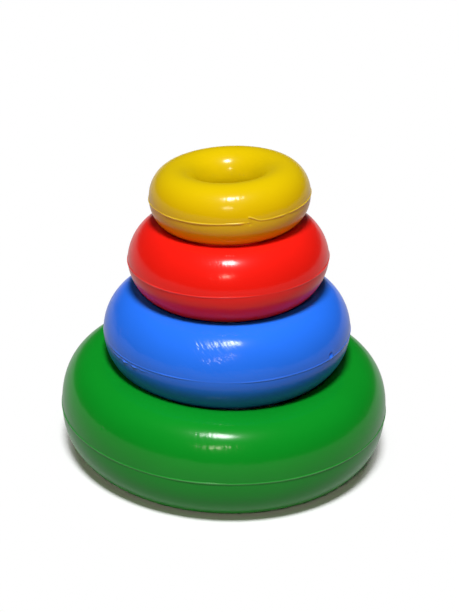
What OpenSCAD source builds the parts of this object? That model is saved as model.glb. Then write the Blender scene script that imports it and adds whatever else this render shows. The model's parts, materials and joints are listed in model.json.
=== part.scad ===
// Stacking ring pyramid: four loose, hollow rings of blown plastic, each resting on the larger ring below.
// Millimetres, +Z up. The origin lies on the table, under the middle of the green ring.

/* [Green ring] */
// Outer diameter of the green ring, without its parting line
green_outer_d = 160; // [140:0.5:180]
// Diameter of the hole through the green ring
green_hole_d = 83; // [73:0.5:93]
// Height of the green ring's tube, before its underside is flattened
green_tube_h = 48.5; // [40:0.5:56]
// Roundness of the green ring's tube: 2 is an ellipse, more is squarer, less is more pointed
green_fullness = 2.25; // [1.6:0.05:3]

/* [Blue ring] */
// Outer diameter of the blue ring, without its parting line
blue_outer_d = 119.5; // [105:0.5:135]
// Diameter of the hole through the blue ring
blue_hole_d = 52; // [44:0.5:60]
// Height of the blue ring's tube
blue_tube_h = 41.5; // [34:0.5:49]
// Roundness of the blue ring's tube: 2 is an ellipse, more is squarer, less is more pointed
blue_fullness = 1.9; // [1.6:0.05:3]

/* [Red ring] */
// Outer diameter of the red ring, without its parting line
red_outer_d = 95.5; // [84:0.5:107]
// Diameter of the hole through the red ring
red_hole_d = 38; // [32:0.5:44]
// Height of the red ring's tube
red_tube_h = 36.5; // [29:0.5:44]
// Roundness of the red ring's tube: 2 is an ellipse, more is squarer, less is more pointed
red_fullness = 1.8; // [1.6:0.05:3]

/* [Yellow ring] */
// Outer diameter of the yellow ring, without its parting line
yellow_outer_d = 75.5; // [66:0.5:85]
// Diameter of the hole through the yellow ring
yellow_hole_d = 26; // [21:0.5:31]
// Height of the yellow ring's tube
yellow_tube_h = 28.5; // [23:0.5:34]
// Roundness of the yellow ring's tube: 2 is an ellipse, more is squarer, less is more pointed
yellow_fullness = 2.05; // [1.6:0.05:3]

/* [Shells] */
// Thickness of the blown wall
wall = 1.5; // [1.2:0.1:2.4]
// Length of the straight land inside each hole, where the mould's core trimmed it
land_h = 5; // [3:0.5:7]
// Width of the flat that runs round the underside of the green ring
foot_w = 10; // [8:0.5:18]

/* [Parting line] */
// Width of the raised line round each ring, where the two halves of its mould met
seam_w = 1; // [0.6:0.1:1.6]
// How far the raised line stands out
seam_proud = 0.4; // [0.2:0.05:0.6]

/* [Stack] */
// Clearance between each ring and the ring that it rests on
nest_gap = 0.3; // [0.2:0.05:1]

/* [Hidden] */
$fn = 128;

// Points round the section of a tube
section_steps = 64;
// Places tried, from the inside out, for where one ring rests on another
contact_steps = 240;

// A ring is its outer diameter, its hole's diameter, its tube's height and its tube's roundness
GREEN = [green_outer_d, green_hole_d, green_tube_h, green_fullness];
BLUE = [blue_outer_d, blue_hole_d, blue_tube_h, blue_fullness];
RED = [red_outer_d, red_hole_d, red_tube_h, red_fullness];
YELLOW = [yellow_outer_d, yellow_hole_d, yellow_tube_h, yellow_fullness];

function outer_r(ring) = ring[0] / 2;
function hole_r(ring) = ring[1] / 2;
function half_h(ring) = ring[2] / 2;
function fullness(ring) = ring[3];

// How far an oval reaches at a distance along its other axis, both as shares of its half sizes
function oval_reach(share, fullness) = pow(1 - pow(min(share, 1), fullness), 1 / fullness);

// Half the width of a tube, so that its straight land stands at the hole's radius
function land_share(ring) = oval_reach(land_h / 2 / half_h(ring), fullness(ring));
function half_w(ring) = (outer_r(ring) - hole_r(ring)) / (1 + land_share(ring));
// The angle round the section at which that land ends
function land_angle(ring) = 180 - asin(pow(land_h / 2 / half_h(ring), fullness(ring) / 2));
function crown_r(ring) = outer_r(ring) - half_w(ring);
function inner_r(ring) = crown_r(ring) - half_w(ring);

// Half the height of a tube at a distance from the axis of the ring
function half_h_at(ring, r) =
    half_h(ring) * oval_reach(abs(r - crown_r(ring)) / half_w(ring), fullness(ring));

// How far apart the middles of two rings stand when the upper one just touches the lower one
function touching_rise(lower, upper) =
    let (from = max(inner_r(lower), inner_r(upper)))
    let (to = min(outer_r(lower), outer_r(upper)))
    max([for (i = [0 : contact_steps])
        let (r = from + (to - from) * i / contact_steps)
        half_h_at(lower, r) + half_h_at(upper, r)]);

// The green ring's underside is cut off where its tube is foot_w wide
foot_cut = half_h(GREEN) - half_h_at(GREEN, crown_r(GREEN) + foot_w / 2);

// Heights of the middles of the four tubes above the table
green_z = half_h(GREEN) - foot_cut;
blue_z = green_z + touching_rise(GREEN, BLUE) + nest_gap;
red_z = blue_z + touching_rise(BLUE, RED) + nest_gap;
yellow_z = red_z + touching_rise(RED, YELLOW) + nest_gap;

// One point of an oval's outline, at an angle round its middle
function oval_point(half_width, half_height, fullness, angle) = [
    half_width * sign(cos(angle)) * pow(abs(cos(angle)), 2 / fullness),
    half_height * sign(sin(angle)) * pow(abs(sin(angle)), 2 / fullness)
];

module oval(half_width, half_height, fullness) {
    polygon([for (i = [0 : section_steps - 1])
        oval_point(half_width, half_height, fullness, 360 * i / section_steps)]);
}

// Angles round a tube's section: from the lower end of its land, round the outside, to the upper end.
// The outermost point is at 0, and the foot and the crown are at -90 and 90.
function tube_angles(ring) =
    let (quarter = section_steps / 4)
    let (past_crown = land_angle(ring) - 90)
    concat(
        [for (i = [quarter : -1 : 1]) -90 - past_crown * i / quarter],
        [for (i = [-quarter : quarter]) 90 * i / quarter],
        [for (i = [1 : quarter]) 90 + past_crown * i / quarter]);

// The outline of a tube. Its ends are joined by the straight land, on the side of the hole.
module tube_outline(ring) {
    translate([crown_r(ring), 0])
        polygon([for (angle = tube_angles(ring))
            oval_point(half_w(ring), half_h(ring), fullness(ring), angle)]);
}

// The air inside a tube
module hollow_outline(ring) {
    translate([crown_r(ring), 0])
        oval(half_w(ring) - wall, half_h(ring) - wall, fullness(ring));
}

// The raised parting line, a thin round bead sunk into the widest part of the tube
module seam_outline(ring) {
    translate([outer_r(ring) + seam_proud - seam_w / 2, 0])
        circle(d = seam_w);
}

// One ring, with its tube's middle at the origin's height
module blown_ring(ring) {
    difference() {
        rotate_extrude()
            union() {
                tube_outline(ring);
                seam_outline(ring);
            }
        rotate_extrude()
            hollow_outline(ring);
    }
}

module green_ring() {
    color("seagreen")
        difference() {
            translate([0, 0, green_z])
                blown_ring(GREEN);
            translate([0, 0, -half_h(GREEN)])
                cylinder(r = outer_r(GREEN), h = half_h(GREEN));
        }
}

module blue_ring() {
    color("royalblue")
        translate([0, 0, blue_z])
            blown_ring(BLUE);
}

module red_ring() {
    color("red")
        translate([0, 0, red_z])
            blown_ring(RED);
}

module yellow_ring() {
    color("gold")
        translate([0, 0, yellow_z])
            blown_ring(YELLOW);
}

green_ring();
blue_ring();
red_ring();
yellow_ring();
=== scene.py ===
# %% [markdown]
# # Stacking ring pyramid
# The toy is four hollow rings of blown plastic, the largest at the bottom. There is no post in this one:
# each ring sits in the mouth of the ring below. The packed model holds its true sizes, with one plain
# solid for each ring. This lesson dresses those solids with the surfaces that a camera would see.
#
# The packed model comes in first, as a frame that stays fixed. The sizes of the rings are measured from
# it, and what is added below is small detail of the surface, so a dressed ring can't drift away from
# its solid.

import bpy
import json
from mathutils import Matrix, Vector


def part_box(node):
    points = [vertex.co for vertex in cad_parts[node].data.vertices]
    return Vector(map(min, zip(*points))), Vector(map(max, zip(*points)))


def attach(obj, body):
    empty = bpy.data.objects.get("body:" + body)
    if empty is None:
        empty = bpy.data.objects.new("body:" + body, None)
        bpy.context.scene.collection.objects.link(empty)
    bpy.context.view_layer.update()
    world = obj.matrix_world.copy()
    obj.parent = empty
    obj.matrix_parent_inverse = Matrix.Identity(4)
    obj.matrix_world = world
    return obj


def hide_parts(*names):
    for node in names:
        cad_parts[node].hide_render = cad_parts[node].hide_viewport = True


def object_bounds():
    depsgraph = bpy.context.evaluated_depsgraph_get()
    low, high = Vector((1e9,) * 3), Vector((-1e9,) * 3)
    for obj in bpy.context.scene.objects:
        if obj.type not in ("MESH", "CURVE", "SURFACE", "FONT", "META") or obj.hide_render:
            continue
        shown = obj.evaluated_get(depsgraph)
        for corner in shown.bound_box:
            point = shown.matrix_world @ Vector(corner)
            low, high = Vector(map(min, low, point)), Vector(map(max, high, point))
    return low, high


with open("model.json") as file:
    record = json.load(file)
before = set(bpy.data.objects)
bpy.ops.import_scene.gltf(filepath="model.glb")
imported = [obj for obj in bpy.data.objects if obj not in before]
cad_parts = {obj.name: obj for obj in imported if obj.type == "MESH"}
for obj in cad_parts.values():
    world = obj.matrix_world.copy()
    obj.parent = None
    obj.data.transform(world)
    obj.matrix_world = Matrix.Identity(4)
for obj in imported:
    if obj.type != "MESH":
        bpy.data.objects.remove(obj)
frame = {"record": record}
solid_low, solid_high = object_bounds()
print("Solids reach from", tuple(solid_low), "to", tuple(solid_high))

# %% [markdown]
# ## The four rings
# All four rings are made in the same way, and differ only in size, in roundness and in how they were
# knocked about. So one recipe makes them all, and each ring is a small record of its sizes. A ring's
# outside and top come from the box of its solid, and its hole and middle from the mount in the hole.
# Lengths are in millimetres here, because that is how a toy is measured, and turn into metres only
# when a mesh is made.
#
# Two sizes can't be read from a box or a mount: how round the tube is, and how far the line round its
# widest part stands out. They repeat the values that the solids were made with.

# %% Measure the rings from the frame
from dataclasses import dataclass

MM = 0.001
RING_NAMES = ["green", "blue", "red", "yellow"]
ROUNDNESS = {"green": 2.25, "blue": 1.9, "red": 1.8, "yellow": 2.05}
SEAM_PROUD = 0.4


@dataclass
class Ring:
    """One ring's sizes in millimetres. Its crown is the circle along the top of its tube."""

    name: str
    outer_r: float
    hole_r: float
    middle_z: float
    half_h: float
    half_w: float
    crown_r: float
    foot_z: float
    roundness: float


def measure_ring(name):
    """One ring's sizes, with the width of its tube worked out from its outside and its hole."""
    low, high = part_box(f"{name}_ring")
    hole = next(mount for mount in frame["record"]["mounts"] if mount["name"] == f"{name}_hole")
    outer_r = high.x / MM - SEAM_PROUD
    hole_r = hole["dims"]["r_mm"]
    land_length = hole["dims"]["length_mm"]
    middle_z = hole["pos_m"][2] / MM
    half_h = high.z / MM - middle_z
    roundness = ROUNDNESS[name]
    land_share = (1 - (land_length / 2 / half_h) ** roundness) ** (1 / roundness)
    half_w = (outer_r - hole_r) / (1 + land_share)
    return Ring(
        name=name,
        outer_r=outer_r,
        hole_r=hole_r,
        middle_z=middle_z,
        half_h=half_h,
        half_w=half_w,
        crown_r=outer_r - half_w,
        foot_z=low.z / MM,
        roundness=roundness,
    )


rings = {name: measure_ring(name) for name in RING_NAMES}
for ring in rings.values():
    print(f"{ring.name}: outside {ring.outer_r:.2f}, tube {2 * ring.half_w:.2f} x {2 * ring.half_h:.2f}")

# %% [markdown]
# ## The section of a tube
# Cut through a ring and you see its tube: an oval that stands upright. A curve called a superellipse
# draws it, with one number for the roundness: 2 gives an ellipse, and more makes it squarer. Two cuts
# finish it: the hole's wall is straight for a few millimetres, where the core of the mould stood, and
# the green ring has a flat to stand on. Each cut is a plain limit on the curve's points.
#
# A torus from the Add menu with a Lattice on it would come close too, but its sizes would then be
# hidden in the lattice. Here each number of the curve is a size that could be checked with calipers.

# %% Draw the section as one closed curve
import numpy as np

CURVE_POINTS = 4001


def section_curve(ring):
    """Distance along the section from its outermost point, with the radius and the height there."""
    turn = np.linspace(-np.pi, np.pi, CURVE_POINTS)
    power = 2 / ring.roundness
    across = ring.half_w * np.sign(np.cos(turn)) * np.abs(np.cos(turn)) ** power
    up = ring.half_h * np.sign(np.sin(turn)) * np.abs(np.sin(turn)) ** power
    radius = np.maximum(ring.crown_r + across, ring.hole_r)
    height = np.maximum(ring.middle_z + up, ring.foot_z)
    along = np.concatenate([[0], np.cumsum(np.hypot(np.diff(radius), np.diff(height)))])
    return along - along[CURVE_POINTS // 2], radius, height


for ring in rings.values():
    along, _, _ = section_curve(ring)
    print(f"{ring.name}: {along[-1] - along[0]:.1f} mm once round the tube")

# %% [markdown]
# ## Where the mesh is fine
# The surface is a grid: columns go round the ring and rows go along its section. A line about every
# millimetre is enough for a smooth plastic wall. The parting line stands out by only about half a
# millimetre, though, and the scars of the mould are small too. A grid that is fine everywhere would
# take millions of faces. So extra lines are put only where something small stands.

# %% Choose the lines of the grid
COARSE_STEP = 1.1
FINE_STEP = 0.12
SCAR_STEP = 0.2
LINE_DECIMALS = 4


def grid_lines(start, end, spots):
    """Even lines from start to just before end, with extra ones round each spot (middle, reach, step)."""
    count = round((end - start) / COARSE_STEP)
    lines = [np.linspace(start, end, count, endpoint=False)]
    for middle, reach, step in spots:
        lines.append(np.arange(middle - reach, middle + reach, step))
    lines = np.unique(np.concatenate(lines).round(LINE_DECIMALS))
    return lines[(lines >= start) & (lines < end)]


print(len(grid_lines(0, 100, [(50, 1, FINE_STEP)])), "lines for 100 mm with one fine spot")

# %% [markdown]
# ## Uneven by nature
# No moulded line is even. Its height and its place drift slowly round the ring, as the two halves of the
# mould met a little better here than there. A few waves of different lengths, added up, give such a
# drift. Whole waves are used, so that the drift closes on itself, and a seed keeps it the same each time.
#
# Small things, such as a scar, need the opposite: a shape that is there in one spot and nowhere else.
# A bell curve is that shape, and its edge fades with no step.

# %% Make a slow drift and a bell-shaped spot
def drift(turn, slowest, fastest, seed):
    """A smooth, uneven value, mostly between -1 and 1, at each angle round the ring."""
    random = np.random.default_rng(seed)
    total = np.zeros_like(turn)
    for waves in range(slowest, fastest + 1):
        total += random.normal() * np.sin(waves * turn + random.uniform(0, 2 * np.pi))
    return total / np.sqrt((fastest - slowest + 1) / 2) / 2


def bump(distance):
    """1 in the middle of a spot, falling smoothly to almost 0 at twice its reach."""
    return np.exp(-(distance**2))


print("A drift runs like", drift(np.linspace(0, 2 * np.pi, 6), slowest=2, fastest=9, seed=1).round(2))

# %% [markdown]
# ## The parting line
# Blown toys come from a mould in two halves. Where the halves meet, plastic is squeezed into a thin
# raised line round the widest part. It catches the light from above, and keeps it off the wall below.
# It could be a bump in the material, but then it would vanish from the outline, so it is real geometry.
#
# On each ring a stretch was scraped when the waste was trimmed off: the line is low there. On the yellow
# ring it breaks off at a trimmed tab and starts again a little higher. On the blue ring a second line,
# broken into short dashes, runs below it for a part of the way.

# %% Describe each ring's parting line
@dataclass
class Seam:
    """A parting line, in millimetres. A stretch is its middle and its reach, in degrees round the ring."""

    seed: int
    height: float
    rise: float
    tilt: float = 0.0
    scraped: tuple = ()
    climb: tuple = ()
    second: tuple = ()


SEAMS = {
    "green": Seam(seed=11, height=0.36, rise=0.0, tilt=0.5, scraped=((150, 14),)),
    "blue": Seam(
        seed=12,
        height=0.24,
        rise=0.6,
        tilt=-0.3,
        scraped=((-4, 16), (-75, 16), (200, 20)),
        second=((-50, 10),),
    ),
    "red": Seam(seed=13, height=0.34, rise=0.15, scraped=((24, 19), (170, 12))),
    "yellow": Seam(
        seed=14,
        height=0.36,
        rise=0.25,
        scraped=((12, 2.6), (44, 3)),
        climb=((14, 6, 2.4),),
    ),
}
for name, seam in SEAMS.items():
    print(f"{name}: scraped at {[degrees for degrees, _ in seam.scraped]} degrees")

# %% [markdown]
# Cut across, the line is half an ellipse that stands on the wall. Its height and its place each drift
# with a seed of their own, set off from the ring's seed, so one doesn't follow the other. Its height is
# kept between two limits: it never quite vanishes, and it stays under the height of the solid's line.

# %% Raise the parting line
SEAM_HALF_W = 0.42
USUAL_HEIGHT = 0.85
UNEVEN_HEIGHT = 0.3
WANDER = 0.12
WANDER_SEED = 50
SCRAPED_AWAY = 0.9
LOWEST_LINE = 0.03
HIGHEST_LINE = SEAM_PROUD - 0.02
SECOND_HEIGHT = 0.6
SECOND_BELOW = 1.5
SECOND_REACH = 0.3
DASHED_SHARE = 0.5
DASH_SEED = 80
SAMPLE_DEGREES = 5
SAMPLE_REACH = 3


def turn_apart(turn, degrees):
    """How far each angle lies from a place round the ring, in degrees, the short way."""
    return (np.degrees(turn) - degrees + 180) % 360 - 180


def parting_line(seam, turn, along):
    """How far the line stands out at each angle round the ring and distance along the section."""
    unevenness = UNEVEN_HEIGHT * drift(turn, slowest=3, fastest=14, seed=seam.seed)
    wandering = WANDER * drift(turn, slowest=2, fastest=7, seed=seam.seed + WANDER_SEED)
    height = seam.height * (USUAL_HEIGHT + unevenness)
    place = seam.rise + seam.tilt * np.sin(turn) + wandering
    for degrees, reach in seam.scraped:
        height = height * (1 - SCRAPED_AWAY * bump(turn_apart(turn, degrees) / reach))
    for degrees, reach, rise in seam.climb:
        past = turn_apart(turn, degrees) / reach
        place = place + np.where(past > 0, rise * bump(past), 0)
    height = np.clip(height, LOWEST_LINE, HIGHEST_LINE)
    line = height * np.sqrt(np.clip(1 - ((along - place) / SEAM_HALF_W) ** 2, 0, None))
    for degrees, reach in seam.second:
        broken = drift(turn, slowest=30, fastest=90, seed=seam.seed + DASH_SEED)
        dashes = np.clip(DASHED_SHARE + broken, 0, 1)
        low_line = SECOND_HEIGHT * dashes * bump(turn_apart(turn, degrees) / reach)
        line = line + low_line * bump((along - place + SECOND_BELOW) / SECOND_REACH)
    return line


sample_turns = np.radians(np.arange(0, 360, SAMPLE_DEGREES))[:, None]
sample_rows = np.arange(-SAMPLE_REACH, SAMPLE_REACH, FINE_STEP)[None, :]
for name, seam in SEAMS.items():
    peak = parting_line(seam, sample_turns, sample_rows).max(axis=1)
    print(f"{name}: parting line {peak.min():.2f} to {peak.max():.2f} mm high")

# %% [markdown]
# ## Scars of the mould and of play
# Air is blown into such a ring through a needle, and the hole it leaves is a small pit with a raised
# rim. The blue ring shows it just above its parting line, and the red and yellow rings have theirs at
# the back. The yellow ring also has a small raised mark where a tab was cut off, with a shallow dip
# below it, and the green ring has a slight dent. Each scar is round, so it is described by its place,
# its size and its two levels, and pushed into the grid with the bell shape: a wide bell raises the rim,
# and a narrow one sinks the pit in its middle.

# %% Push scars into the wall
RIM_SPREAD = 0.9
PIT_SPREAD = 0.45


@dataclass
class Scar:
    """A round scar, in millimetres, but for its place round the ring, which is in degrees."""

    degrees: float
    along: float
    reach: float
    rim: float
    pit: float


SCARS = {
    "green": [Scar(degrees=-45, along=12.0, reach=1.0, rim=0.0, pit=0.25)],
    "blue": [Scar(degrees=55, along=1.9, reach=2.2, rim=0.35, pit=1.4)],
    "red": [Scar(degrees=172, along=2.2, reach=1.5, rim=0.3, pit=1.2)],
    "yellow": [
        Scar(degrees=15, along=2.3, reach=1.0, rim=0.22, pit=0.0),
        Scar(degrees=15, along=-0.6, reach=1.6, rim=0.0, pit=0.18),
        Scar(degrees=186, along=2.0, reach=1.3, rim=0.25, pit=1.0),
    ],
}


def scar_depth(scar, ring, turn, along):
    """How far one scar lifts or sinks the wall."""
    sideways = np.radians(turn_apart(turn, scar.degrees)) * ring.outer_r
    distance = np.hypot(sideways, along - scar.along) / scar.reach
    return scar.rim * bump(distance / RIM_SPREAD) - (scar.pit + scar.rim) * bump(distance / PIT_SPREAD)


for name, scars in SCARS.items():
    print(f"{name}: scars at {[scar.degrees for scar in scars]} degrees")

# %% [markdown]
# ## Not quite round
# A blown wall shrinks unevenly as it cools. It stays within about a tenth of a millimetre of its mould,
# yet that is enough to bend a reflection, which is how the eye tells moulded plastic from a perfect
# shape. So the wall gets a gentle swell before it is turned into a mesh: a slow one, and a finer one
# that is a little weaker.

# %% Let the wall swell a little
SWELL = 0.06
FINER_SHARE = 0.6
FINER_SEED = 20
OUTLINE_SHARE = 0.85


def wall_swell(ring, turn, along, seed):
    """A slow swell of the wall, in millimetres, both round the ring and along its section."""
    # The outline of the section is a little shorter than the rectangle round it
    outline_length = 4 * (ring.half_w + ring.half_h) * OUTLINE_SHARE
    once_round = 2 * np.pi * along / outline_length
    slow = drift(turn, slowest=2, fastest=6, seed=seed) * np.cos(once_round + seed)
    finer = drift(turn, slowest=3, fastest=9, seed=seed + FINER_SEED) * np.sin(2 * once_round)
    return SWELL * (slow + FINER_SHARE * finer)


print("The wall swells by about", SWELL, "mm")

# %% [markdown]
# ## The lean
# Loose rings never sit quite level. In the photograph each ring leans to the same side, a degree or
# two more than the ring below it, and lies a little farther to the left, which is a negative shift. The
# solids stand level, because a stack has to start from somewhere, so the lean is given to the dressed
# rings. No point moves by more than about 4 mm.
#
# A ring that leans in the mouth of the next would cut into it on one side. Real rings give way there,
# as the wall is thin. So each point of an underside looks down at the ring below, and where it would
# come too close it is lifted. The change from one to the other is rounded, so no crease shows.

# %% Lean the rings
LEAN_DEGREES = {"green": 0.0, "blue": 2.28, "red": 3.15, "yellow": 4.68}
SHIFT = {"green": 0.0, "blue": -0.1, "red": -0.95, "yellow": -1.47}
CLEARANCE = 0.3
ROUNDING = 0.6


def leant(ring, x, z):
    """Sideways and upward places after the lean of one ring, about its own middle."""
    angle = np.radians(LEAN_DEGREES[ring.name])
    up = z - ring.middle_z
    new_x = x * np.cos(angle) - up * np.sin(angle) + SHIFT[ring.name]
    return new_x, x * np.sin(angle) + up * np.cos(angle) + ring.middle_z


def levelled(ring, x, z):
    """The opposite of leant: places as they would be if the ring stood level."""
    angle = np.radians(LEAN_DEGREES[ring.name])
    across, up = x - SHIFT[ring.name], z - ring.middle_z
    new_x = across * np.cos(angle) + up * np.sin(angle)
    return new_x, up * np.cos(angle) - across * np.sin(angle) + ring.middle_z


def top_of_tube(ring, radius):
    """The height of a ring's top at a distance from its axis, and its middle height beside the tube."""
    share = np.abs(radius - ring.crown_r) / ring.half_w
    rise = np.clip(1 - share**ring.roundness, 0, None) ** (1 / ring.roundness)
    return ring.middle_z + ring.half_h * rise


def lean(ring, x, y, z):
    """Leans a ring, and keeps its underside clear of the ring that it rests on."""
    x, z = leant(ring, x, z)
    order = RING_NAMES.index(ring.name)
    if order == 0:
        return x, z
    below = rings[RING_NAMES[order - 1]]
    x, z = levelled(below, x, z)
    space = z - top_of_tube(below, np.hypot(x, y)) - CLEARANCE
    lifted = z + (np.hypot(space, ROUNDING) - space) / 2
    return leant(below, x, lifted)


for ring in rings.values():
    print(f"{ring.name}: leans {LEAN_DEGREES[ring.name]} degrees")

# %% [markdown]
# ## From curve to points
# Now the parts come together. The section is carried round the axis, and each point of the grid moves
# out or in along the wall's own direction by the parting line, the scars and the swell. Then the ring
# leans. A Screw modifier could carry the section round, but every column would be the same, and the
# line and the scars need columns that differ.
#
# First the grid of a ring is set out, with its extra lines round the parting line, round each scar and
# round the place where the yellow ring's line breaks off.

# %% Set out one ring's grid
SCAR_SPREAD = 2.4
LINE_MARGIN = 0.8
BREAK_SPREAD = 8
BREAK_STEP = 0.4


def ring_grid(ring, first_along, last_along):
    """Angles round the ring, and distances along its section."""
    seam = SEAMS[ring.name]
    columns = []
    rows = [(seam.rise, LINE_MARGIN + abs(seam.tilt), FINE_STEP)]
    for scar in SCARS[ring.name]:
        spread = SCAR_SPREAD * scar.reach
        columns.append((np.radians(scar.degrees) % (2 * np.pi) * ring.outer_r, spread, SCAR_STEP))
        rows.append((scar.along, spread, SCAR_STEP))
    for degrees, _, rise in seam.climb:
        columns.append((np.radians(degrees) * ring.outer_r, BREAK_SPREAD, BREAK_STEP))
        rows.append((seam.rise + rise / 2, rise / 2 + LINE_MARGIN, FINE_STEP))
    turn = grid_lines(0, 2 * np.pi * ring.outer_r, columns) / ring.outer_r
    along = grid_lines(first_along, last_along, rows)
    return turn[:, None], along[None, :]


for ring in rings.values():
    curve_along, _, _ = section_curve(ring)
    turn, along = ring_grid(ring, curve_along[0], curve_along[-1])
    print(f"{ring.name}: {turn.size} columns, {along.size} rows")

# %% [markdown]
# Each point also keeps two notes for the material: where it lies on the tube, and how much it belongs to
# the parting line. The first note holds the point of the crown's circle above it and the distance along
# the section, so a pattern that is drawn with it follows the ring round.

# %% Place the points of one ring
def ring_points(ring):
    """The places of all points in millimetres, and the two notes for the material."""
    seam = SEAMS[ring.name]
    curve_along, curve_radius, curve_height = section_curve(ring)
    turn, along = ring_grid(ring, curve_along[0], curve_along[-1])
    radius = np.interp(along, curve_along, curve_radius)
    height = np.interp(along, curve_along, curve_height)
    out_r = np.interp(along, curve_along, np.gradient(curve_height, curve_along))
    out_z = -np.interp(along, curve_along, np.gradient(curve_radius, curve_along))

    line = parting_line(seam, turn, along)
    push = line + wall_swell(ring, turn, along, seam.seed)
    for scar in SCARS[ring.name]:
        push = push + scar_depth(scar, ring, turn, along)
    radius = radius + push * out_r
    height = np.maximum(height + push * out_z, ring.foot_z)
    y = -radius * np.cos(turn)
    x, z = lean(ring, radius * np.sin(turn), y, height)

    crown_x = ring.crown_r * np.sin(turn)
    crown_y = -ring.crown_r * np.cos(turn)
    on_tube = np.stack(np.broadcast_arrays(crown_x, crown_y, along), axis=-1)
    return np.stack([x, y, z], axis=-1), on_tube, line / SEAM_PROUD


places, _, _ = ring_points(rings["yellow"])
print(f"The yellow ring's highest point is at {places[..., 2].max():.1f} mm")

# %% [markdown]
# ## From points to mesh
# A mesh is a list of points and a list of faces, and each face names its corners by their numbers. The
# points of the grid are numbered column after column, so the numbers of a face's corners follow from
# its column and its row. The last column joins the first one, and the last row the first, so the
# surface closes with no edge left open.

# %% Build the four rings
import bpy


def grid_faces(columns, rows):
    """Four-sided faces of a grid that closes on itself in both directions."""
    column, row = np.meshgrid(np.arange(columns), np.arange(rows), indexing="ij")
    next_column = (column + 1) % columns
    next_row = (row + 1) % rows
    corners = [column * rows + row, next_column * rows + row]
    corners += [next_column * rows + next_row, column * rows + next_row]
    return np.stack(corners, axis=-1).reshape(-1, 4)


def build_ring(ring):
    """The ring as one closed mesh in metres, with its notes."""
    places, on_tube, line = ring_points(ring)
    columns, rows = places.shape[:2]
    mesh = bpy.data.meshes.new(f"dressed_{ring.name}_ring")
    faces = grid_faces(columns, rows)
    mesh.from_pydata((places.reshape(-1, 3) * MM).tolist(), [], faces.tolist())
    mesh.attributes.new("on_tube", "FLOAT_VECTOR", "POINT")
    mesh.attributes["on_tube"].data.foreach_set("vector", on_tube.reshape(-1).astype(np.float32))
    mesh.attributes.new("parting_line", "FLOAT", "POINT")
    mesh.attributes["parting_line"].data.foreach_set("value", line.reshape(-1).astype(np.float32))
    mesh.shade_smooth()
    mesh.update()
    piece = bpy.data.objects.new(mesh.name, mesh)
    bpy.context.scene.collection.objects.link(piece)
    print(f"{ring.name}: {columns} columns, {rows} rows, {len(faces)} faces")
    return piece


dressed = {name: build_ring(ring) for name, ring in rings.items()}

# %% [markdown]
# ## A short way to join shader nodes
# A material in Blender is a small network of nodes. In code each node takes several lines: it is added,
# its numbers are set and its sockets are joined. The helper below makes each of those one short call,
# so that a material further down reads like a recipe.

# %% Make a helper for shader nodes
class Nodes:
    """Adds shader nodes to one tree and joins their sockets. A value is a number or another's output."""

    def __init__(self, tree):
        self.tree = tree

    def add(self, kind, **settings):
        node = self.tree.nodes.new(kind)
        for name, value in settings.items():
            setattr(node, name, value)
        return node

    def join(self, source, target):
        self.tree.links.new(source, target)

    def calculate(self, operation, *values):
        node = self.add("ShaderNodeMath", operation=operation)
        for socket, value in zip(node.inputs, values):
            if isinstance(value, (int, float)):
                socket.default_value = value
            else:
                self.join(value, socket)
        return node.outputs[0]

    def remap(self, value, low, high, to_low=0.0, to_high=1.0):
        node = self.add("ShaderNodeMapRange")
        self.join(value, node.inputs["Value"])
        node.inputs["From Min"].default_value = low
        node.inputs["From Max"].default_value = high
        node.inputs["To Min"].default_value = to_low
        node.inputs["To Max"].default_value = to_high
        return node.outputs[0]

    def mix_colour(self, share, first, second, blend="MIX"):
        node = self.add("ShaderNodeMix", data_type="RGBA", blend_type=blend)
        for name, value in (("Factor", share), ("A", first), ("B", second)):
            socket = next(socket for socket in node.inputs if socket.name == name and socket.enabled)
            if isinstance(value, tuple):
                socket.default_value = (*value, 1)
            elif isinstance(value, (int, float)):
                socket.default_value = value
            else:
                self.join(value, socket)
        return next(socket for socket in node.outputs if socket.enabled)

    def relief(self, height, depth):
        node = self.add("ShaderNodeBump")
        node.inputs["Distance"].default_value = depth
        self.join(height, node.inputs["Height"])
        return node.outputs[0]

    def noise(self, place, scale, detail, seed):
        node = self.add("ShaderNodeTexNoise", noise_dimensions="4D")
        self.join(place, node.inputs["Vector"])
        node.inputs["W"].default_value = seed
        node.inputs["Scale"].default_value = scale
        node.inputs["Detail"].default_value = detail
        return node.outputs[0]


print("The helper can", ", ".join(name for name in vars(Nodes) if not name.startswith("_")))

# %% [markdown]
# ## Four plastics
# The plastic is polyethylene, coloured all through. Years of stacking rub fine strokes into its skin,
# which break up a highlight, and their direction tells how the ring was handled: nearly straight up and
# down on most rings, slanted on the blue one. The slant is how far a stroke runs sideways for each
# millimetre along the section. Each ring also has one place near its front that was rubbed more than
# the rest. It is given by its angle in degrees, its distance along the section and its reach.

# %% Describe the four plastics
@dataclass
class Plastic:
    """One ring's plastic: its colour, how worn it is and which way its strokes run."""

    colour: tuple
    wear: float
    slant: float
    seed: float
    rubbed_at: tuple


PLASTICS = {
    "green": Plastic(colour=(0.003, 0.28, 0.016), wear=0.5, slant=0.15, seed=3.0, rubbed_at=(-7, 18, 9)),
    "blue": Plastic(colour=(0.02, 0.18, 0.95), wear=1.1, slant=0.9, seed=7.0, rubbed_at=(-6, 14, 12)),
    "red": Plastic(colour=(0.86, 0.012, 0.006), wear=0.5, slant=0.3, seed=13.0, rubbed_at=(-10, 12, 10)),
    "yellow": Plastic(colour=(0.71, 0.5, 0.001), wear=0.4, slant=0.0, seed=19.0, rubbed_at=(8, 9, 10)),
}
for name, plastic in PLASTICS.items():
    print(f"{name}: rubbed most at {plastic.rubbed_at[0]} degrees")

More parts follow.
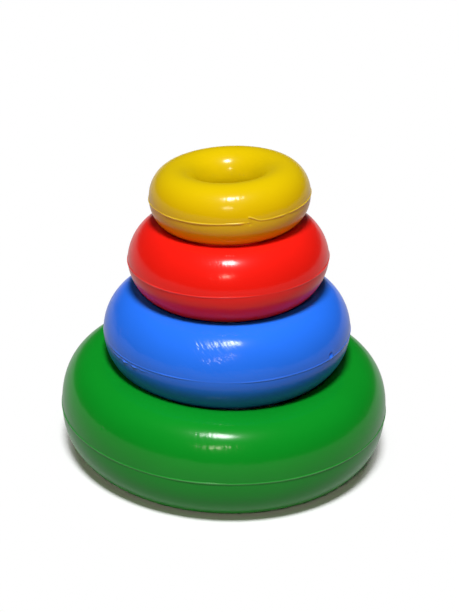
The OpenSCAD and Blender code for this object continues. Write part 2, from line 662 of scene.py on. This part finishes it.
# %% [markdown]
# ## Strokes that follow the tube
# The strokes are noise, stretched along the section until its grains are streaks. Its coordinates come
# from the note that the mesh keeps of where a point lies on the tube, so the strokes follow the ring
# round, and no join shows at the back. Turning the coordinates a little further for each millimetre
# along the section makes the strokes slant.
#
# A ring isn't worn alike all over. So the strokes only show in patches: in the one place that hands
# rubbed most, and faintly in a few others, which a second, much larger noise picks out.

# %% Rub strokes into the skin
import math

STROKE_SCALE = 1.1
STROKE_STRETCH = 0.2
PATCH_SCALE = 0.07
PATCH_EDGE = 0.55
PATCH_INSIDE = 0.75
PATCH_WEAR = 0.7
PATCH_SEED = 1


def place_on_tube(nodes, slant, stretch=1.0):
    """Coordinates in millimetres on the tube, turned by the slant and squeezed along the section."""
    note = nodes.add("ShaderNodeAttribute", attribute_name="on_tube")
    parts = nodes.add("ShaderNodeSeparateXYZ")
    nodes.join(note.outputs["Vector"], parts.inputs[0])
    turned = nodes.add("ShaderNodeVectorRotate", rotation_type="Z_AXIS")
    nodes.join(note.outputs["Vector"], turned.inputs["Vector"])
    nodes.join(nodes.calculate("MULTIPLY", parts.outputs["Z"], slant), turned.inputs["Angle"])
    squeezed = nodes.add("ShaderNodeVectorMath", operation="MULTIPLY")
    nodes.join(turned.outputs[0], squeezed.inputs[0])
    squeezed.inputs[1].default_value = (1, 1, stretch)
    return squeezed.outputs[0]


def rubbed_most(nodes, ring, plastic):
    """1 in the middle of the place that hands rubbed most, falling to 0 at its reach."""
    degrees, along, reach = plastic.rubbed_at
    turn = math.radians(degrees)
    note = nodes.add("ShaderNodeAttribute", attribute_name="on_tube")
    away = nodes.add("ShaderNodeVectorMath", operation="DISTANCE")
    nodes.join(note.outputs["Vector"], away.inputs[0])
    away.inputs[1].default_value = (ring.crown_r * math.sin(turn), -ring.crown_r * math.cos(turn), along)
    return nodes.remap(away.outputs["Value"], reach, 0)


def rubbed_strokes(nodes, ring, plastic, place):
    """Strokes in the patches that were rubbed, and 0 between them."""
    stroke_place = place_on_tube(nodes, plastic.slant / ring.outer_r, STROKE_STRETCH)
    strokes = nodes.noise(stroke_place, STROKE_SCALE, detail=1.0, seed=plastic.seed)
    clouds = nodes.noise(place, PATCH_SCALE, detail=2.0, seed=plastic.seed + PATCH_SEED)
    patches = nodes.remap(clouds, PATCH_EDGE, PATCH_INSIDE, 0.0, PATCH_WEAR)
    patches = nodes.calculate("MAXIMUM", patches, rubbed_most(nodes, ring, plastic))
    return nodes.calculate("MULTIPLY", nodes.calculate("MULTIPLY", strokes, patches), plastic.wear)


print(f"Strokes are {1 / STROKE_STRETCH:.0f} times as long as they are wide")

# %% [markdown]
# ## Glossy blown plastic
# The gloss of such a toy is in its skin, where the plastic froze against the mould. The coat of the
# Principled shader is that skin. Its roughness gives a highlight a soft edge. Its index is a little
# above that of plastic and its weight is low, because the two together keep the highlights bright, and
# keep the rims from turning white where they mirror the floor. The colour below hardly shines.
#
# Light that grazes the skin also shows that it isn't flat. There is the peel, a faint ripple like that
# of an orange, and there are the strokes, which are pressed into the coat alone and make the colour
# below a little rougher. Both are far too shallow to be geometry, so they are relief in the shader. The
# colour drifts a little too, and turns paler on the parting line. That is partly the thin plastic
# squeezed out there, and partly a painted highlight for the light that the raised line catches.

# %% Make the plastic
BODY_GLOSS = 0.04
SKIN_GLOSS = 0.22
SKIN_INDEX = 1.7
SKIN_ROUGHNESS = 0.17
BODY_ROUGHNESS = 0.35
RUBBED_ROUGHNESS = 0.45
PEEL_SCALE = 0.35
PEEL_SEED = 2
PEEL_DEPTH = 0.00001
SCRATCH_DEPTH = -0.0005
SHADE_SCALE = 0.03
SHADE_SEED = 4
NOISE_LOW = 0.3
NOISE_HIGH = 0.7
DARKEST = 0.95
LIGHTEST = 1.04
# The parting line is made paler partly for its thin plastic and partly as a painted highlight for the
# light that the raised line catches.
LINE_PALENESS_AND_HIGHLIGHT = 0.25


def colour_drift_and_line_highlight(nodes, plastic, place):
    """The plastic's colour, a little uneven, and paler on the parting line, partly as a painted highlight.
    """
    clouds = nodes.noise(place, SHADE_SCALE, detail=3.0, seed=plastic.seed + SHADE_SEED)
    shade = nodes.remap(clouds, NOISE_LOW, NOISE_HIGH, DARKEST, LIGHTEST)
    varied = nodes.mix_colour(1.0, plastic.colour, shade, "MULTIPLY")
    # Painted highlight: the parting line is lightened towards white, partly for the light that the raised
    # line catches.
    line = nodes.add("ShaderNodeAttribute", attribute_name="parting_line")
    paleness_and_highlight = nodes.calculate("MULTIPLY", line.outputs["Fac"], LINE_PALENESS_AND_HIGHLIGHT)
    pale = tuple((1 - LINE_PALENESS_AND_HIGHLIGHT) * part + LINE_PALENESS_AND_HIGHLIGHT for part in plastic.colour)
    return nodes.mix_colour(paleness_and_highlight, varied, pale)


def blown_plastic(name, ring, plastic):
    """The material of one ring."""
    material = bpy.data.materials.new(f"{name}_plastic")
    material.use_nodes = True
    nodes = Nodes(material.node_tree)
    shader = material.node_tree.nodes["Principled BSDF"]
    shader.inputs["Specular IOR Level"].default_value = BODY_GLOSS
    shader.inputs["Coat Weight"].default_value = SKIN_GLOSS
    shader.inputs["Coat IOR"].default_value = SKIN_INDEX
    shader.inputs["Coat Roughness"].default_value = SKIN_ROUGHNESS

    place = place_on_tube(nodes, plastic.slant / ring.outer_r)
    rubbed = rubbed_strokes(nodes, ring, plastic, place)
    rougher = RUBBED_ROUGHNESS - BODY_ROUGHNESS
    roughness = nodes.calculate("MULTIPLY_ADD", rubbed, rougher, BODY_ROUGHNESS)
    nodes.join(roughness, shader.inputs["Roughness"])

    peel = nodes.noise(place, PEEL_SCALE, detail=2.0, seed=plastic.seed + PEEL_SEED)
    scratched = nodes.calculate("MULTIPLY_ADD", rubbed, SCRATCH_DEPTH / PEEL_DEPTH, peel)
    nodes.join(nodes.relief(peel, PEEL_DEPTH), shader.inputs["Normal"])
    nodes.join(nodes.relief(scratched, PEEL_DEPTH), shader.inputs["Coat Normal"])

    nodes.join(colour_drift_and_line_highlight(nodes, plastic, place), shader.inputs["Base Color"])
    return material


for name, plastic in PLASTICS.items():
    dressed[name].data.materials.append(blown_plastic(name, rings[name], plastic))
    print(f"{name}: {len(dressed[name].data.materials[0].node_tree.nodes)} shader nodes")

# %% [markdown]
# ## Each dressed ring stands for its solid
# A dressed ring takes its solid's place in the picture, and the solid stays behind it for contact. It
# rides on the body of the same name, so it rises when that ring is lifted off the stack.

# %% Put the dressed rings on their bodies
for name, piece in dressed.items():
    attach(piece, f"{name}_ring")
    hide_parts(f"{name}_ring")
    print(f"{piece.name} rides on {name}_ring")

# %% [markdown]
# ## The floor
# The toy stands on white in the photograph, but its own colours show that little light came back up
# from there: the undersides are deep in colour, and lit mostly by the rings below them. So the floor
# answers in two ways, and the Light Path node tells which ray is asking. Rays that look at it, straight
# or in a reflection, see it white. Light that bounces off it finds a grey near the toy and a dark, warm
# colour farther off, and that is what gives the undersides their depth.
#
# Near the toy the floor is lit as anything else is, and takes the toy's shadow. Farther off it glows for
# the rays that look at it, so the white is even and shows no edge.

# %% Make the floor's material
SEEN_WHITE = 0.97
BOUNCE_NEAR = (0.36, 0.36, 0.36)
BOUNCE_FAR = (0.5, 0.14, 0.03)
BOUNCE_CHANGES_FROM = 0.13
BOUNCE_CHANGES_OVER = 0.07
GLOW_FROM = 0.074
GLOW_FULL = 0.09


def floor_material():
    """White for rays that look at it, with the toy's shadow, and darker for light that bounces."""
    material = bpy.data.materials.new("white_floor")
    material.use_nodes = True
    nodes = Nodes(material.node_tree)
    shader = material.node_tree.nodes["Principled BSDF"]
    output = material.node_tree.nodes["Material Output"]
    shader.inputs["Roughness"].default_value = 1.0
    shader.inputs["Specular IOR Level"].default_value = 0.0

    rays = nodes.add("ShaderNodeLightPath")
    looking = nodes.calculate("MAXIMUM", rays.outputs["Is Camera Ray"], rays.outputs["Is Glossy Ray"])
    looking = nodes.calculate("MAXIMUM", looking, rays.outputs["Is Transmission Ray"])

    length = nodes.add("ShaderNodeVectorMath", operation="LENGTH")
    nodes.join(nodes.add("ShaderNodeTexCoord").outputs["Object"], length.inputs[0])
    distance = length.outputs["Value"]
    farther = nodes.remap(distance, BOUNCE_CHANGES_FROM, BOUNCE_CHANGES_FROM + BOUNCE_CHANGES_OVER)
    bounce = nodes.mix_colour(farther, BOUNCE_NEAR, BOUNCE_FAR)
    shade = nodes.mix_colour(looking, bounce, (SEEN_WHITE, SEEN_WHITE, SEEN_WHITE))
    nodes.join(shade, shader.inputs["Base Color"])

    glowing = nodes.remap(distance, GLOW_FROM, GLOW_FULL)
    glow = nodes.add("ShaderNodeEmission")
    blend = nodes.add("ShaderNodeMixShader")
    nodes.join(nodes.calculate("MULTIPLY", glowing, looking), blend.inputs[0])
    nodes.join(shader.outputs[0], blend.inputs[1])
    nodes.join(glow.outputs[0], blend.inputs[2])
    nodes.join(blend.outputs[0], output.inputs["Surface"])
    return material


white_floor = floor_material()
print(f"The floor glows from {GLOW_FROM / MM:.0f} mm away, and fully from {GLOW_FULL / MM:.0f} mm")

# %% [markdown]
# The floor itself is one large square. It lies a tenth of a millimetre below the foot of the green
# ring, because two surfaces in the same place would show through each other in spots.

# %% Lay the floor
FLOOR_HALF = 8.0
FLOOR_DROP = 0.0001

floor_mesh = bpy.data.meshes.new("floor")
corner_signs = ((-1, -1), (1, -1), (1, 1), (-1, 1))
floor_corners = [(x * FLOOR_HALF, y * FLOOR_HALF, -FLOOR_DROP) for x, y in corner_signs]
floor_mesh.from_pydata(floor_corners, [], [(0, 1, 2, 3)])
floor_mesh.materials.append(white_floor)
floor = bpy.data.objects.new("floor", floor_mesh)
bpy.context.scene.collection.objects.link(floor)
print(f"Floor {2 * FLOOR_HALF:.0f} m wide")

# %% [markdown]
# ## Light
# The highlights tell what lit the toy: a bright lamp high above it and a little in front, and a much
# weaker one lower down in front. Both are oval area lamps. Their width and length are angles as seen
# from the toy, because those set how large a highlight is, and their distance then only has to be large
# enough to light every ring alike.

# %% Hang the lamps
from mathutils import Vector

TOY_MIDDLE = (solid_low + solid_high) / 2
LAMP_DISTANCE = 2.0
COOL_WHITE = (0.97, 0.98, 1)
WARM_WHITE = (1, 0.86, 0.7)


def lamp_size(degrees):
    """How large a lamp is that looks so many degrees wide from the toy."""
    return 2 * LAMP_DISTANCE * math.tan(math.radians(degrees) / 2)


def lamp(name, azimuth, elevation, width, length, light, colour):
    """An oval lamp that faces the toy, with its angles in degrees. Azimuth 0 is straight in front.

    A white surface that faces the lamp shows at about `light` times white.
    """
    data = bpy.data.lights.new(name, "AREA")
    data.shape = "ELLIPSE"
    data.size = lamp_size(width)
    data.size_y = lamp_size(length)
    data.energy = light * (math.pi * LAMP_DISTANCE) ** 2
    data.color = colour
    hung = bpy.data.objects.new(name, data)
    round_toy = math.radians(azimuth)
    above = math.radians(elevation)
    sideways = math.sin(round_toy) * math.cos(above)
    forwards = math.cos(round_toy) * math.cos(above)
    towards = Vector((sideways, -forwards, math.sin(above)))
    hung.location = TOY_MIDDLE + LAMP_DISTANCE * towards
    hung.rotation_euler = (-towards).to_track_quat("-Z", "Y").to_euler()
    bpy.context.scene.collection.objects.link(hung)
    print(f"{name}: {data.size * 100:.0f} x {data.size_y * 100:.0f} cm, {data.energy:.1f} W")


lamp("overhead_lamp", azimuth=-3.5, elevation=67, width=12.5, length=12, light=1.08, colour=COOL_WHITE)
lamp("front_lamp", azimuth=-4, elevation=34, width=8, length=5, light=0.16, colour=WARM_WHITE)

# %% [markdown]
# ## The room
# Round the lamps the room is dim, and a little lighter at the horizon than overhead. A world that is
# white all over would lay a veil of reflection on every crown, and the colours would look washed out.
# Only the camera sees the room as plain white, because the Light Path node lets its rays through to
# full strength.

# %% Light the room dimly
HORIZON_STRENGTH = 0.05
CEILING_STRENGTH = 0.03
HORIZON_TOP = 0.02
CEILING_FROM = 0.35


def room_light():
    """A dim world, which shows white to the camera alone."""
    world = bpy.data.worlds.new("room")
    world.use_nodes = True
    nodes = Nodes(world.node_tree)
    background = world.node_tree.nodes["Background"]
    direction = nodes.add("ShaderNodeTexCoord").outputs["Generated"]
    parts = nodes.add("ShaderNodeSeparateXYZ")
    nodes.join(direction, parts.inputs[0])
    up = parts.outputs["Z"]
    strength = nodes.remap(up, HORIZON_TOP, CEILING_FROM, HORIZON_STRENGTH, CEILING_STRENGTH)
    looking = nodes.add("ShaderNodeLightPath").outputs["Is Camera Ray"]
    nodes.join(nodes.calculate("MAXIMUM", strength, looking), background.inputs["Strength"])
    background.inputs["Color"].default_value = (1, 1, 1, 1)
    return world


bpy.context.scene.world = room_light()
print("Room light from", HORIZON_STRENGTH, "at the horizon to", CEILING_STRENGTH, "overhead")

# %% [markdown]
# ## The camera
# The camera stands where the photograph was taken from: its place, tilt and lens were found by matching
# the outlines of all four rings. It looks down at about 26 degrees, and is rolled by 2.5 degrees. The
# sensor's width counts along the longer side of the picture, which is its height here.

# %% Place the camera
from mathutils import Matrix

CAMERA_PLACE = (0.7, -631.1, 376.3)
LOOK_DOWN = 25.59
ROLL = 2.51
LENS = 85.3
SENSOR = 36.0

camera_data = bpy.data.cameras.new("camera")
camera_data.lens = LENS
camera_data.sensor_width = SENSOR
camera = bpy.data.objects.new("camera", camera_data)
bpy.context.scene.collection.objects.link(camera)
tilt = Matrix.Rotation(math.radians(90 - LOOK_DOWN), 4, "X")
roll = Matrix.Rotation(math.radians(ROLL), 4, "Z")
camera.matrix_world = Matrix.Translation(Vector(CAMERA_PLACE) * MM) @ tilt @ roll
bpy.context.scene.camera = camera
bpy.context.scene.view_settings.view_transform = "Standard"
print("Camera at", tuple(round(part, 3) for part in camera.location), "m")

# %% [markdown] ## The end

# %% Finish
import json
